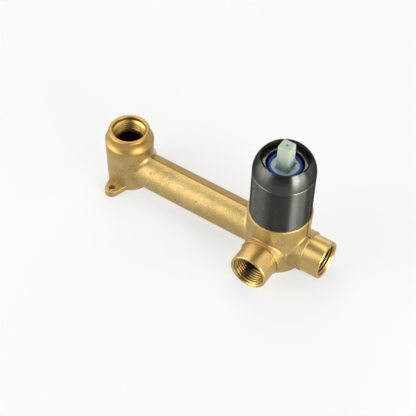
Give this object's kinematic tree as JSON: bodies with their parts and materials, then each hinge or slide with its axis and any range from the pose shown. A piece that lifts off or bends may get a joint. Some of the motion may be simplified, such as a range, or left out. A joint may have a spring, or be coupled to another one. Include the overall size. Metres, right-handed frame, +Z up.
{
  "type": "concealed basin mixer body",
  "caption": "Cast brass concealed mixer body with threaded inlets at a right angle, an arm to an upward spout boss, and a lever cartridge in a dark domed sleeve.",
  "frame": {"origin": "on the cartridge axis, at the foot of the cast housing", "axes": "+X from the spout boss towards the cartridge and the right inlet, +Y to the back, away from the front inlet, +Z up the cartridge axis"},
  "size_m": [0.1654, 0.0606, 0.0963],
  "materials": {
    "cast_brass": "blasted casting with turned ends",
    "gunmetal": "satin dark coating",
    "nut_plating": "dull nickel plating",
    "blue_plastic": "moulded",
    "grey_plastic": "moulded",
    "mint_plastic": "moulded",
    "black_plastic": "moulded",
    "disc_ceramic": "lapped",
    "pin_steel": "ground",
    "seal_rubber": "moulded"
  },
  "bodies": {
    "casting": {"brass_body": "cast_brass", "sleeve": "gunmetal", "sleeve_o_ring": "seal_rubber", "dome_cap": "gunmetal", "retaining_nut": "nut_plating", "cartridge_housing": "blue_plastic", "cartridge_base": "black_plastic", "seat_seal_front_inlet": "seal_rubber", "seat_seal_right_inlet": "seal_rubber", "seat_seal_outlet": "seal_rubber", "disc_seal_front_inlet": "seal_rubber", "disc_seal_right_inlet": "seal_rubber", "disc_seal_outlet": "seal_rubber", "fixed_disc": "disc_ceramic"},
    "rotor": {"rotor": "grey_plastic", "pivot_pin": "pin_steel"},
    "stem": {"stem": "mint_plastic"},
    "slider": {"disc_carrier": "black_plastic", "moving_disc": "disc_ceramic"}
  },
  "joints": [
    {"name": "rotor_turn", "type": "hinge", "parent": "casting", "child": "rotor", "pos_m": [0, 0, 0.0786], "axis": [0, 0, 1], "range_deg": [-48, 48]},
    {"name": "stem_tilt", "type": "hinge", "parent": "rotor", "child": "stem", "pos_m": [0, 0, 0.0766], "axis": [-1, 0, 0], "range_deg": [0, 20]},
    {"name": "disc_slide", "type": "slide", "parent": "rotor", "child": "slider", "axis": [0, -1, 0], "range_m": [0, 0.0039]}
  ],
  "couplings": [
    {"joint": "disc_slide", "follows": "stem_tilt", "m_per_rad": 0.01088}
  ]
}
